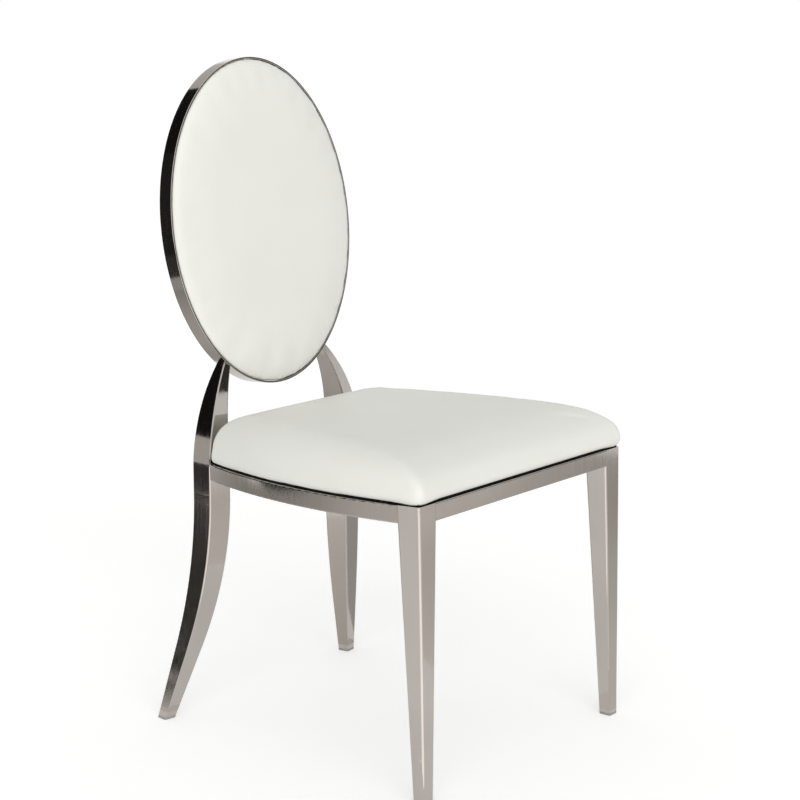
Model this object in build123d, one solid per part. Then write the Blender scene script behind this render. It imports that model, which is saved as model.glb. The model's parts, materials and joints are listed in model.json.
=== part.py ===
import os
from math import atan, atan2, cos, degrees, pi, radians, sin, sqrt, tan

from build123d import *

# Banquet chair with an oval back. Sizes in mm, X across, Y towards the back, Z up.
# Pieces are drawn with Y = 0 at the front of the rails and moved to the frame at the end.

# Seat frame
RAIL_TOP = 413.5             # top of the front rail above the floor
SEAT_SLOPE = 2.45            # the rails fall towards the back, in degrees
FRONT_HALF_WIDTH = 239.0     # outer face of a side rail at the front
REAR_HALF_WIDTH = 170.0      # outer face of a side rail at the rear
SEAT_DEPTH = 447.0           # length of the seat frame from front to rear
SIDE_BOW = 27.0              # how far the side rails bow outwards
RAIL_HEIGHT = 25.0
RAIL_WIDTH = 20.0
REAR_RAIL_SETBACK = 7.0      # rear rail in front of the side rails' ends
TUBE_WALL = 1.2
TUBE_EDGE = 2.0              # outside radius of the tubes' edges

# Front legs
FRONT_LEG_TOP = 37.4         # square section at the rail
FRONT_LEG_FOOT = 20.0        # square section at the floor
FRONT_LEG_EDGE = 3.0         # outside radius of the legs' edges
WELD_STEP = 0.5              # rails end this far before the end of the legs' rounded edges
FRONT_FOOT_INSET = 2.5       # foot stands this far inside the top
FRONT_FOOT_RAKE = 8.0        # foot stands this far in front of the top

# Rear legs, each one curved box piece from the floor to the ring
REAR_LEG_INSET = 38.0        # inner front edge inside the side rail's end
REAR_LEG_LAP = 4.0           # inner front edge in front of the side rail's end
REAR_LEG_TURN = 8.0          # section turned outwards, in degrees
REAR_LEG_WIDTH = 38.5
REAR_LEG_DEPTH = 41.0
REAR_FOOT_WIDTH = 19.5
REAR_FOOT_DEPTH = 19.0
REAR_FOOT_SPLAY = 76.0       # inner edge swings out by this much at the floor
REAR_FOOT_SWEEP = 47.0       # front edge swings back by this much at the floor
REAR_KNEE_DROP = 68.5        # the leg is upright from here, below the front rail's top
REAR_STRAIGHT = 110.0        # straight run above the floor
POST_OUTER_START = -33.5     # where the post's edges begin to curve, from the front rail's top
POST_INNER_START = 11.5
POST_FRONT_START = -13.5
POST_LAND_X = 112.0          # outer edge of the post where it meets the ring
POST_TOP_WIDTH = 13.5
POST_TOP_DEPTH = 17.0

# Foot glides
GLIDE_HEIGHT = 4.0
GLIDE_PLUG = 14.0
GLIDE_CLEARANCE = 0.2

# Back ring, bent from flat bar
RING_HALF_WIDTH = 194.7
RING_HALF_HEIGHT = 246.3
RING_SETBACK = 13.464        # lowest point of the ring's front edge behind the seat frame
RING_RISE = 78.282           # and above the front rail's top
RING_TILT = 6.7              # the back leans by this much, in degrees
RING_DEPTH = 24.0
RING_THICKNESS = 3.0
RING_EDGE = 0.8

# Back panel
BACK_CLEARANCE = 0.4         # between the ring and the covers
BACK_BOARD_FRONT = 2.0       # board's front face behind the ring's front edge
BACK_BOARD = 9.0
BACK_CROWN = 17.0            # pad stands out this far in the middle
BACK_EDGE = 9.0              # radius of the pad's edge
COVER = 1.2                  # leatherette thickness
FOAM_GAP = 0.3
COVER_HEM = 28.0             # width of the cover turned over the board
TAB_THICKNESS = 2.0
TAB_WIDTH = 22.0
TAB_LENGTH = 26.0
TAB_SCREW_INSET = 15.0
BACK_SCREW = 4.0
BACK_SCREW_LENGTH = 9.0
BACK_SCREW_HEAD = 8.0
BACK_SCREW_HEAD_HEIGHT = 2.4
HEAD_CLEARANCE = 0.6
REAR_BOARD = 4.0
REAR_CROWN = 8.0
REAR_EDGE = 4.0
CLIP_DIAMETER = 7.0
CLIP_HEAD = 14.0
CLIP_HEAD_HEIGHT = 1.5
CLIP_GRIP = 7.0              # how far a clip goes into the front board
CLIP_COUNT = 6
CLIP_INSET = 85.0            # clips stand this far inside the ring

# Corner plates and seat screws
PLATE_LEG = 88.0
PLATE_THICKNESS = 4.0
PLATE_DROP = 4.0
PLATE_SCREW_INSET = 31.0
SEAT_SCREW = 6.0
SEAT_SCREW_HEAD = 11.0
SEAT_SCREW_HEAD_HEIGHT = 3.5
WASHER_DIAMETER = 16.0
WASHER_THICKNESS = 1.2
TEE_NUT_BARREL = 8.0
TEE_NUT_FLANGE = 19.0
TEE_NUT_FLANGE_THICKNESS = 1.4
TEE_NUT_LENGTH = 10.0
HOLE_CLEARANCE = 0.5
THREAD_CLEARANCE = 0.1

# Seat pad
TAPE_HEIGHT = 3.0
TAPE_INSET = 3.0
TAPE_WIDTH = 11.0
SEAT_BOARD = 12.0
PAD_OVERHANG = 4.5           # widest part of the pad beyond the rails
PAD_WIDEST = 12.0            # height of the widest part above the pad's underside
PAD_TUCK = 5.0               # underside drawn in from the rails' outer faces
PAD_RISE = 61.0              # top of the pad above the front rail's top
PAD_REAR_GAP = 5.5           # pad stops short of the rails' rear ends
PAD_ROLL_FRONT = 180.0       # width of the curve from the edge to the flat middle
PAD_ROLL_SIDE = 80.0
PAD_ROLL_REAR = 77.0
PAD_FULLNESS = 2.6           # 2 is an ellipse, more is fuller
PAD_CORNER_FRONT = 12.0
PAD_CORNER_REAR = 13.0
PAD_CORNER_OPENING = 36.0    # corners open up by this much as the pad curves in
DUST_COVER = 0.8
DUST_COVER_INSET = 20.0
STAPLE_INSET = 24.5
STAPLE_SPAN = 10.0
STAPLE_WIRE = 0.7
STAPLE_LEG = 7.0
STAPLE_PITCH = 46.0
BACK_STAPLE_INSET = 18.0
BACK_STAPLE_COUNT = 28

# Angles along the pad's curve at which a section is drawn
LOWER_ANGLES = (0.0, 22.0, 42.0, 58.0)
UPPER_ANGLES = (58.0, 70.0, 80.0, 90.0)

seat_plane = Plane((0, 0, RAIL_TOP), (1, 0, 0), (0, sin(radians(SEAT_SLOPE)), cos(radians(SEAT_SLOPE))))
lean = radians(RING_TILT)
ring_y = SEAT_DEPTH + RING_SETBACK + RING_HALF_HEIGHT * sin(lean)
ring_z = RAIL_TOP + RING_RISE + RING_HALF_HEIGHT * cos(lean)
ring_plane = Plane((0, ring_y, ring_z), (1, 0, 0), (0, -cos(lean), sin(lean)))
parts = {}


def keep_pair(name, right_piece):
    parts[name + "_right"] = mirror(right_piece, Plane.YZ)
    parts[name + "_left"] = right_piece


# Seat outline: the side rails' outer faces are arcs about one centre
half_chord = sqrt((FRONT_HALF_WIDTH - REAR_HALF_WIDTH) ** 2 + SEAT_DEPTH**2) / 2
side_radius = (half_chord**2 + SIDE_BOW**2) / (2 * SIDE_BOW)
chord_angle = atan2(FRONT_HALF_WIDTH - REAR_HALF_WIDTH, SEAT_DEPTH)
side_x = (FRONT_HALF_WIDTH + REAR_HALF_WIDTH) / 2 - (side_radius - SIDE_BOW) * cos(chord_angle)
side_y = SEAT_DEPTH / 2 - (side_radius - SIDE_BOW) * sin(chord_angle)


def side_at(y, inset):
    return side_x + sqrt((side_radius - inset) ** 2 - (y - side_y) ** 2)


def seat_outline(front, rear, inset):
    middle = (front + rear) / 2
    right = ThreePointArc(
        (side_at(front, inset), front), (side_at(middle, inset), middle), (side_at(rear, inset), rear)
    )
    left = ThreePointArc(
        (-side_at(rear, inset), rear), (-side_at(middle, inset), middle), (-side_at(front, inset), front)
    )
    return make_face([Line(left @ 1, right @ 0), right, Line(right @ 1, left @ 0), left])


def side_band(inset, width, front, rear):
    middle = (front + rear) / 2
    outer = ThreePointArc(
        (side_at(front, inset), front), (side_at(middle, inset), middle), (side_at(rear, inset), rear)
    )
    inner = ThreePointArc(
        (side_at(rear, inset + width), rear),
        (side_at(middle, inset + width), middle),
        (side_at(front, inset + width), front),
    )
    return make_face([outer, Line(outer @ 1, inner @ 0), inner, Line(inner @ 1, outer @ 0)])


def slab(sketch, bottom, top):
    return Pos(0, 0, bottom) * extrude(sketch, top - bottom)


def long_edges(solid, least):
    return solid.edges().filter_by(lambda edge: edge.length > least)


above_rails = seat_plane * Pos(0, 0, RAIL_TOP / 2) * Box(4 * SEAT_DEPTH, 4 * SEAT_DEPTH, RAIL_TOP)
below_glides = Pos(0, 0, -RAIL_TOP / 2 + GLIDE_HEIGHT) * Box(4 * SEAT_DEPTH, 4 * SEAT_DEPTH, RAIL_TOP)
glide_slab = Pos(0, 0, GLIDE_HEIGHT / 2) * Box(4 * SEAT_DEPTH, 4 * SEAT_DEPTH, GLIDE_HEIGHT)
plug_slab = Pos(0, 0, GLIDE_HEIGHT + GLIDE_PLUG / 2) * Box(4 * SEAT_DEPTH, 4 * SEAT_DEPTH, GLIDE_PLUG)


# Front leg: a box that tapers to the foot, with its outer face in line with the side rail
foot_outer = FRONT_HALF_WIDTH - FRONT_FOOT_INSET
foot_inner = foot_outer - FRONT_LEG_FOOT
foot_back = FRONT_LEG_FOOT - FRONT_FOOT_RAKE
top_inner = FRONT_HALF_WIDTH - FRONT_LEG_TOP
top_outer = side_at(FRONT_LEG_TOP, 0)
weld_fill = FRONT_LEG_EDGE - WELD_STEP


def leg_section(height, corners, shrink, radius):
    section = make_face(Polyline(*corners, close=True))
    if shrink:
        section = offset(section, -shrink, kind=Kind.INTERSECTION)
    return Pos(0, 0, height) * fillet(section.vertices(), radius)


def front_leg_body(shrink, radius):
    foot = (
        (foot_inner, -FRONT_FOOT_RAKE),
        (foot_outer, -FRONT_FOOT_RAKE),
        (foot_outer, foot_back),
        (foot_inner, foot_back),
    )
    top = (
        (top_inner, 0),
        (FRONT_HALF_WIDTH, 0),
        (top_outer, FRONT_LEG_TOP),
        (top_inner, FRONT_LEG_TOP),
    )
    return loft([leg_section(0, foot, shrink, radius), leg_section(RAIL_TOP, top, shrink, radius)], ruled=True)


front_leg_outside = front_leg_body(0, FRONT_LEG_EDGE) - above_rails
front_cavity_roof = Pos(0, 0, -TUBE_WALL) * above_rails
front_leg_cavity = front_leg_body(TUBE_WALL, FRONT_LEG_EDGE - TUBE_WALL) - front_cavity_roof
front_leg = front_leg_outside - below_glides - front_leg_cavity
keep_pair("front_leg", front_leg)
front_plug = front_leg_body(TUBE_WALL + GLIDE_CLEARANCE, FRONT_LEG_EDGE - TUBE_WALL) & plug_slab
keep_pair("front_foot_glide", (front_leg_outside & glide_slab) + front_plug)

# Rear leg: a front view and a side view, each a closed outline, crossed to make the box
land_drop = RING_HALF_HEIGHT * sqrt(1 - (POST_LAND_X / RING_HALF_WIDTH) ** 2)
land_z = ring_z - land_drop * cos(lean)
land_y = ring_y - land_drop * sin(lean) + RING_DEPTH / 2
turn = radians(REAR_LEG_TURN)
leg_x = REAR_HALF_WIDTH - REAR_LEG_INSET
leg_y = SEAT_DEPTH - REAR_LEG_LAP
knee = RAIL_TOP - REAR_KNEE_DROP
land_across = (POST_LAND_X - leg_x) * cos(turn) + (land_y - leg_y) * sin(turn)
land_back = (land_y - leg_y) * cos(turn) - (POST_LAND_X - leg_x) * sin(turn)
post_top = land_z + RING_DEPTH
leg_below = -2 * TUBE_WALL


def lower_edge(base, sweep):
    # straight from the floor, then an arc that ends upright at the knee
    half_slope = 0.0
    for _ in range(30):
        half_slope = sweep / (knee - REAR_STRAIGHT + 2 * REAR_STRAIGHT / (1 - half_slope**2))
    slope = 2 * atan(half_slope)
    radius = (knee - REAR_STRAIGHT) / sin(slope)
    start = (base + sweep - leg_below * tan(slope), leg_below)
    bend = (base + radius * (1 - cos(slope)), REAR_STRAIGHT)
    middle = (base + radius * (1 - cos(slope / 2)), knee - radius * sin(slope / 2))
    return [Line(start, bend), ThreePointArc(bend, middle, (base, knee))]


def upper_edge(base, start_rise, land):
    # upright to the start height, then an arc through the point on the ring
    start = RAIL_TOP + start_rise
    shift = land - base
    rise = land_z - start
    radius = (rise**2 + shift**2) / (2 * abs(shift))
    side = 1 if shift > 0 else -1
    points = []
    for height in ((post_top - start) / 2, post_top - start):
        points.append((base + side * (radius - sqrt(radius**2 - height**2)), start + height))
    return [Line((base, knee), (base, start)), ThreePointArc((base, start), *points)]


def leg_view(low, high):
    first = low[0] + low[1]
    second = high[0] + high[1]
    bottom = Line(first[0] @ 0, second[0] @ 0)
    top = Line(first[-1] @ 1, second[-1] @ 1)
    return make_face(first + second + [bottom, top])


front_view = leg_view(
    (lower_edge(0, REAR_FOOT_SPLAY), upper_edge(0, POST_INNER_START, land_across - POST_TOP_WIDTH)),
    (
        lower_edge(REAR_LEG_WIDTH, REAR_FOOT_SPLAY + REAR_FOOT_WIDTH - REAR_LEG_WIDTH),
        upper_edge(REAR_LEG_WIDTH, POST_OUTER_START, land_across),
    ),
)
side_view = leg_view(
    (lower_edge(0, REAR_FOOT_SWEEP), upper_edge(0, POST_FRONT_START, land_back - POST_TOP_DEPTH / 2)),
    (
        lower_edge(REAR_LEG_DEPTH, REAR_FOOT_SWEEP + REAR_FOOT_DEPTH - REAR_LEG_DEPTH),
        upper_edge(REAR_LEG_DEPTH, POST_FRONT_START, land_back + POST_TOP_DEPTH / 2),
    ),
)
leg_place = Pos(leg_x, leg_y, 0) * Rot(0, 0, REAR_LEG_TURN)
view_reach = REAR_LEG_WIDTH + REAR_LEG_DEPTH + REAR_FOOT_SPLAY + REAR_FOOT_SWEEP


def rear_leg_body(shrink):
    front = offset(front_view, -shrink) if shrink else front_view
    side = offset(side_view, -shrink) if shrink else side_view
    front_prism = extrude(Plane.XZ * front, view_reach, both=True)
    side_prism = extrude(Plane.YZ * side, view_reach, both=True)
    return leg_place * (front_prism & side_prism)


def oval(inset):
    return Ellipse(RING_HALF_WIDTH - inset, RING_HALF_HEIGHT - inset)


ring_outside = ring_plane * slab(oval(0), -3 * RING_DEPTH, 2 * RING_DEPTH)
ring_weld_side = ring_plane * slab(oval(-TUBE_WALL), -3 * RING_DEPTH, 2 * RING_DEPTH)
rear_leg_sharp = rear_leg_body(0)
rear_leg_edges = rear_leg_sharp.edges().filter_by(lambda edge: abs((edge @ 1).Z - (edge @ 0).Z) > TUBE_EDGE)
rear_leg_full = fillet(rear_leg_edges, TUBE_EDGE)
rear_leg_outside = rear_leg_full - ring_outside - below_glides
rear_leg_cavity = rear_leg_body(TUBE_WALL) - ring_weld_side
keep_pair("rear_leg", rear_leg_outside - rear_leg_cavity)
rear_plug = rear_leg_body(TUBE_WALL + GLIDE_CLEARANCE) & plug_slab
keep_pair("rear_foot_glide", (rear_leg_full & glide_slab) + rear_plug)

# Rails: side tubes follow the arcs, front and rear tubes are straight
rail_end = SEAT_DEPTH + RAIL_WIDTH
side_tube = slab(side_band(0, RAIL_WIDTH, 0, rail_end), -RAIL_HEIGHT, 0)
side_tube = fillet(long_edges(side_tube, SEAT_DEPTH / 2), TUBE_EDGE)
side_hole = slab(
    side_band(TUBE_WALL, RAIL_WIDTH - 2 * TUBE_WALL, 0, rail_end), TUBE_WALL - RAIL_HEIGHT, -TUBE_WALL
)
behind_leg_face = leg_place * Pos(0, view_reach, RAIL_TOP) * Box(8 * REAR_LEG_WIDTH, 2 * view_reach, 2 * RAIL_TOP)
behind_front_leg = Plane.YZ * make_face(
    Polyline(
        (foot_back - weld_fill, 0),
        (2 * SEAT_DEPTH, 0),
        (2 * SEAT_DEPTH, RAIL_TOP),
        (FRONT_LEG_TOP - weld_fill, RAIL_TOP),
        close=True,
    )
)
side_rail = seat_plane * (side_tube - side_hole) & extrude(behind_front_leg, 2 * FRONT_HALF_WIDTH)
keep_pair("side_rail", side_rail - front_leg_outside - behind_leg_face)

# The front rail's face lies in the plane of the legs' front faces
face_lean = radians(SEAT_SLOPE) - atan(FRONT_FOOT_RAKE / RAIL_TOP)
front_section = make_face(
    Polyline(
        (0, 0),
        (RAIL_WIDTH, 0),
        (RAIL_WIDTH, -RAIL_HEIGHT),
        (RAIL_HEIGHT * tan(face_lean), -RAIL_HEIGHT),
        close=True,
    )
)
front_tube = extrude(Plane.YZ * front_section, FRONT_HALF_WIDTH, both=True)
front_tube = fillet(long_edges(front_tube, FRONT_HALF_WIDTH), TUBE_EDGE)
front_hole = extrude(
    Plane.YZ * offset(front_section, -TUBE_WALL, kind=Kind.INTERSECTION), FRONT_HALF_WIDTH, both=True
)
between_front_legs = Plane.XZ * make_face(
    Polyline(
        (-foot_inner - weld_fill, 0),
        (foot_inner + weld_fill, 0),
        (top_inner + weld_fill, RAIL_TOP),
        (-top_inner - weld_fill, RAIL_TOP),
        close=True,
    )
)
front_rail = seat_plane * (front_tube - front_hole) & extrude(between_front_legs, SEAT_DEPTH, both=True)
parts["front_rail"] = front_rail - front_leg_outside - mirror(front_leg_outside, Plane.YZ)

rear_rail_back = SEAT_DEPTH - REAR_RAIL_SETBACK
rear_rail_front = rear_rail_back - RAIL_WIDTH
rear_tube = Pos(0, rear_rail_back - RAIL_WIDTH / 2, -RAIL_HEIGHT / 2) * Box(
    2 * FRONT_HALF_WIDTH, RAIL_WIDTH, RAIL_HEIGHT
)
rear_tube = fillet(long_edges(rear_tube, FRONT_HALF_WIDTH), TUBE_EDGE)
rear_hole = Pos(0, rear_rail_back - RAIL_WIDTH / 2, -RAIL_HEIGHT / 2) * Box(
    2 * FRONT_HALF_WIDTH, RAIL_WIDTH - 2 * TUBE_WALL, RAIL_HEIGHT - 2 * TUBE_WALL
)
between_sides = slab(seat_outline(0, rail_end, RAIL_WIDTH), -2 * RAIL_HEIGHT, RAIL_HEIGHT)
parts["rear_rail"] = seat_plane * ((rear_tube - rear_hole) & between_sides)

# Corner plates, with the screws, washers and tee nuts that hold the seat board
plate_top = -PLATE_DROP
plate_bottom = plate_top - PLATE_THICKNESS
inside_rails = seat_outline(RAIL_WIDTH, rear_rail_front, RAIL_WIDTH)
tape_top = TAPE_HEIGHT
board_bottom = tape_top + COVER
board_top = board_bottom + SEAT_BOARD
front_corner = (side_at(RAIL_WIDTH, RAIL_WIDTH), RAIL_WIDTH)
rear_corner = (side_at(rear_rail_front, RAIL_WIDTH), rear_rail_front)
screw_spots = []


def corner_plate(corner, inward):
    x, y = corner
    reach = PLATE_LEG + RAIL_WIDTH
    triangle = make_face(
        Polyline(
            (x - PLATE_LEG, y),
            (x + RAIL_WIDTH, y),
            (x + RAIL_WIDTH, y + inward * reach),
            close=True,
        )
    )
    spot_y = y + inward * PLATE_SCREW_INSET
    spot_x = side_at(spot_y, RAIL_WIDTH) - PLATE_SCREW_INSET
    screw_spots.append((spot_x, spot_y))
    screw_spots.append((-spot_x, spot_y))
    hole = Pos(spot_x, spot_y, plate_bottom) * Cylinder(SEAT_SCREW / 2 + HOLE_CLEARANCE, 4 * PLATE_THICKNESS)
    return slab(inside_rails & triangle, plate_bottom, plate_top) - hole


front_plate = seat_plane * corner_plate(front_corner, 1) - front_leg_outside
keep_pair("front_corner_plate", front_plate)
keep_pair("rear_corner_plate", seat_plane * corner_plate(rear_corner, -1))

head_top = plate_bottom - WASHER_THICKNESS
seat_screws = []
washers = []
tee_nuts = []
board_holes = []
barrel_bottom = board_top - TEE_NUT_LENGTH


def disc(diameter, bottom, top):
    return slab(Circle(diameter / 2), bottom, top)


for spot in screw_spots:
    place = Pos(spot[0], spot[1], 0)
    head = fillet(
        disc(SEAT_SCREW_HEAD, head_top - SEAT_SCREW_HEAD_HEIGHT, head_top).edges().group_by(Axis.Z)[0],
        SEAT_SCREW_HEAD_HEIGHT / 2,
    )
    shank = disc(SEAT_SCREW, head_top, board_top - TEE_NUT_FLANGE_THICKNESS)
    seat_screws.append(place * (head + shank))
    ring = disc(WASHER_DIAMETER, head_top, plate_bottom)
    washers.append(place * (ring - disc(SEAT_SCREW + HOLE_CLEARANCE, head_top, plate_bottom)))
    barrel = disc(TEE_NUT_BARREL, barrel_bottom, board_top)
    flange = disc(TEE_NUT_FLANGE, board_top - TEE_NUT_FLANGE_THICKNESS, board_top)
    bore = disc(SEAT_SCREW + 2 * THREAD_CLEARANCE, board_bottom, board_top + SEAT_BOARD)
    tee_nuts.append(place * (barrel + flange - bore))
    board_holes.append(place * (barrel + flange))
    board_holes.append(place * disc(SEAT_SCREW + 2 * HOLE_CLEARANCE, board_bottom, board_top))
parts["seat_screws"] = seat_plane * Compound(children=seat_screws)
parts["seat_washers"] = seat_plane * Compound(children=washers)
parts["seat_tee_nuts"] = seat_plane * Compound(children=tee_nuts)

# Tape on the rails
tape_ring = seat_outline(TAPE_INSET, rear_rail_back - TAPE_INSET, TAPE_INSET) - seat_outline(
    TAPE_INSET + TAPE_WIDTH, rear_rail_back - TAPE_INSET - TAPE_WIDTH, TAPE_INSET + TAPE_WIDTH
)
parts["seat_tape"] = seat_plane * slab(tape_ring, 0, tape_top)

# Seat pad: cover, foam and board are the same form, each one set inside the last
pad_rear = SEAT_DEPTH - PAD_REAR_GAP


def pad_section(front, side, rear, growth, height, tilt):
    plane = Plane((0, 0, height), (1, 0, 0), (0, sin(radians(tilt)), cos(radians(tilt))))
    outline = seat_outline(front, rear, side)
    corners = outline.vertices().group_by(Axis.Y)
    outline = fillet(corners[0], PAD_CORNER_FRONT + growth)
    outline = fillet(outline.vertices().group_by(Axis.Y)[-1], PAD_CORNER_REAR + growth)
    return plane * outline


def pad_body(shrink, bottom):
    widest = tape_top + PAD_WIDEST
    base = RAIL_TOP + widest / cos(radians(SEAT_SLOPE))
    top = RAIL_TOP + PAD_RISE - shrink
    tuck = []
    for share in (0.0, 0.5, 1.0):
        out = -PAD_TUCK + (PAD_TUCK + PAD_OVERHANG) * sqrt(1 - (1 - share) ** 2)
        height = RAIL_TOP + (bottom + (widest - bottom) * share) / cos(radians(SEAT_SLOPE))
        tuck.append(pad_section(shrink - out, shrink - out, pad_rear - shrink, 0, height, SEAT_SLOPE))

    def curve(angle):
        level = sin(radians(angle)) ** (2 / PAD_FULLNESS)
        share = 1 - max(0.0, cos(radians(angle))) ** (2 / PAD_FULLNESS)
        return pad_section(
            shrink - PAD_OVERHANG + PAD_ROLL_FRONT * share,
            shrink - PAD_OVERHANG + PAD_ROLL_SIDE * share,
            pad_rear - shrink - PAD_ROLL_REAR * share,
            PAD_CORNER_OPENING * share,
            base + (top - base) * level,
            SEAT_SLOPE * (1 - level),
        )

    lower = [curve(angle) for angle in LOWER_ANGLES]
    upper = [curve(angle) for angle in UPPER_ANGLES]
    return loft(tuck) + loft(lower) + loft(upper)


hem_hole = seat_outline(COVER_HEM, pad_rear - COVER_HEM, COVER_HEM)
pad_outside = pad_body(0, tape_top)
pad_inside = pad_body(COVER, board_bottom)
foam_full = pad_body(COVER + FOAM_GAP, board_bottom)
hem_cut = seat_plane * slab(hem_hole, 0, board_bottom)
board_slab = seat_plane * Pos(0, 0, (board_bottom + board_top) / 2) * Box(
    4 * SEAT_DEPTH, 4 * SEAT_DEPTH, SEAT_BOARD
)
seat_cover = pad_outside - pad_inside - hem_cut
seat_foam = foam_full - board_slab
seat_board = (foam_full & board_slab) - seat_plane * Compound(children=board_holes)
dust_top = tape_top
dust_bottom = dust_top - DUST_COVER
dust_sheet = slab(
    seat_outline(DUST_COVER_INSET, rear_rail_back - DUST_COVER_INSET, DUST_COVER_INSET), dust_bottom, dust_top
)
for spot in screw_spots:
    dust_sheet -= Pos(spot[0], spot[1], 0) * disc(SEAT_SCREW + 2 * HOLE_CLEARANCE, dust_bottom, dust_top)


# Staples through the dust cover and the hem into the board
def staple(gap):
    wire = STAPLE_WIRE + gap
    crown = Pos(0, 0, -STAPLE_WIRE / 2) * Box(STAPLE_SPAN, wire, STAPLE_WIRE)
    legs = [
        Pos(side * (STAPLE_SPAN - STAPLE_WIRE) / 2, 0, STAPLE_LEG / 2) * Box(wire, wire, STAPLE_LEG + gap)
        for side in (-1, 1)
    ]
    return crown + legs[0] + legs[1]


staple_path = seat_outline(STAPLE_INSET, rear_rail_back - STAPLE_INSET, STAPLE_INSET).face().outer_wire()
staple_count = round(staple_path.length / STAPLE_PITCH)
staple_places = []
for number in range(staple_count):
    share = (number + 0.5) / staple_count
    point = staple_path @ share
    along = staple_path % share
    staple_places.append(Pos(point.X, point.Y, dust_bottom) * Rot(0, 0, degrees(atan2(along.Y, along.X))))
parts["seat_staples"] = seat_plane * Compound(children=[place * staple(0) for place in staple_places])
staple_cuts = Compound(children=[place * staple(THREAD_CLEARANCE) for place in staple_places])
seat_staple_cuts = seat_plane * staple_cuts
parts["seat_cover"] = seat_cover - seat_staple_cuts
parts["seat_foam"] = seat_foam
parts["seat_board"] = seat_board - seat_staple_cuts
parts["seat_dust_cover"] = seat_plane * (dust_sheet - staple_cuts)

# Back ring and the tabs welded inside it
ring_band = slab(oval(0) - oval(RING_THICKNESS), -RING_DEPTH, 0)
parts["back_ring"] = ring_plane * fillet(ring_band.edges(), RING_EDGE)
board_front = -BACK_BOARD_FRONT
board_back = board_front - BACK_BOARD
hem_back = board_back - COVER
tab_back = hem_back - TAB_THICKNESS
head_back = tab_back - BACK_SCREW_HEAD_HEIGHT
rear_board_front = head_back - HEAD_CLEARANCE
rear_board_back = rear_board_front - REAR_BOARD
inside_ring = slab(oval(RING_THICKNESS), tab_back, hem_back)
tab_inset = RING_THICKNESS + TAB_SCREW_INSET
back_screws = []
back_screw_holes = []
tab_names = ("back_tab_upper_left", "back_tab_upper_right", "back_tab_lower_right", "back_tab_lower_left")
for number, name in enumerate(tab_names):
    angle = radians(45 + 90 * number)
    x = (RING_HALF_WIDTH - tab_inset) * cos(angle)
    y = (RING_HALF_HEIGHT - tab_inset) * sin(angle)
    outward = degrees(atan2(y / RING_HALF_HEIGHT**2, x / RING_HALF_WIDTH**2))
    place = Pos(x, y, 0) * Rot(0, 0, outward)
    reach = TAB_LENGTH + RING_DEPTH
    bar = Pos(reach / 2 - TAB_LENGTH + TAB_SCREW_INSET, 0, (tab_back + hem_back) / 2) * Box(
        reach, TAB_WIDTH, TAB_THICKNESS
    )
    hole = disc(BACK_SCREW + HOLE_CLEARANCE, tab_back, hem_back)
    parts[name] = ring_plane * ((place * (bar - hole)) & inside_ring)
    head = fillet(
        disc(BACK_SCREW_HEAD, head_back, tab_back).edges().group_by(Axis.Z)[0], BACK_SCREW_HEAD_HEIGHT / 2
    )
    back_screws.append(place * (head + disc(BACK_SCREW, tab_back, tab_back + BACK_SCREW_LENGTH)))
    back_screw_holes.append(
        place * disc(BACK_SCREW + 2 * THREAD_CLEARANCE, tab_back, tab_back + BACK_SCREW_LENGTH + THREAD_CLEARANCE)
    )
parts["back_screws"] = ring_plane * Compound(children=back_screws)

# Back panel: front cover, foam and board
pad_edge = RING_THICKNESS + BACK_CLEARANCE


def crowned(edge, depth, crown, radius):
    # a turned pad with a straight rim, a rounded edge and a crown, stretched to the oval
    across = RING_HALF_WIDTH - edge
    along = RING_HALF_HEIGHT - edge
    rim = across - radius
    crown_radius = (rim**2 + crown**2 - radius**2) / (2 * (crown - radius))
    centre = crown - crown_radius
    touch_angle = atan2(-centre, rim)
    crown_middle = (touch_angle + pi / 2) / 2
    touch = (crown_radius * cos(touch_angle), centre + crown_radius * sin(touch_angle))
    edge_middle = (rim + radius * cos(touch_angle / 2), radius * sin(touch_angle / 2))
    top_middle = (crown_radius * cos(crown_middle), centre + crown_radius * sin(crown_middle))
    profile = make_face(
        [
            Line((0, -depth), (across, -depth)),
            Line((across, -depth), (across, 0)),
            ThreePointArc((across, 0), edge_middle, touch),
            ThreePointArc(touch, top_middle, (0, crown)),
            Line((0, crown), (0, -depth)),
        ]
    )
    return scale(revolve(Plane.XZ * profile, Axis.Z), by=(1, along / across, 1))


def front_pad(shrink, bottom):
    return crowned(pad_edge + shrink, -bottom, BACK_CROWN - shrink, BACK_EDGE - shrink)


back_screw_cuts = Compound(children=back_screw_holes)
clip_places = []
for number in range(CLIP_COUNT):
    angle = radians(360 * number / CLIP_COUNT)
    clip_places.append(
        Pos((RING_HALF_WIDTH - CLIP_INSET) * cos(angle), (RING_HALF_HEIGHT - CLIP_INSET) * sin(angle), 0)
    )
clip_end = board_back + CLIP_GRIP
clip_root = rear_board_front - REAR_BOARD / 2
clip_stud = disc(CLIP_DIAMETER, clip_root, clip_end)
clip_head = disc(CLIP_HEAD, rear_board_front, rear_board_front + CLIP_HEAD_HEIGHT)
clip_hole = disc(CLIP_DIAMETER + 2 * THREAD_CLEARANCE, clip_root - THREAD_CLEARANCE, clip_end + THREAD_CLEARANCE)
parts["rear_panel_clips"] = ring_plane * Compound(
    children=[place * (clip_stud + clip_head) for place in clip_places]
)
clip_cuts = Compound(children=[place * clip_hole for place in clip_places])

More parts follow.
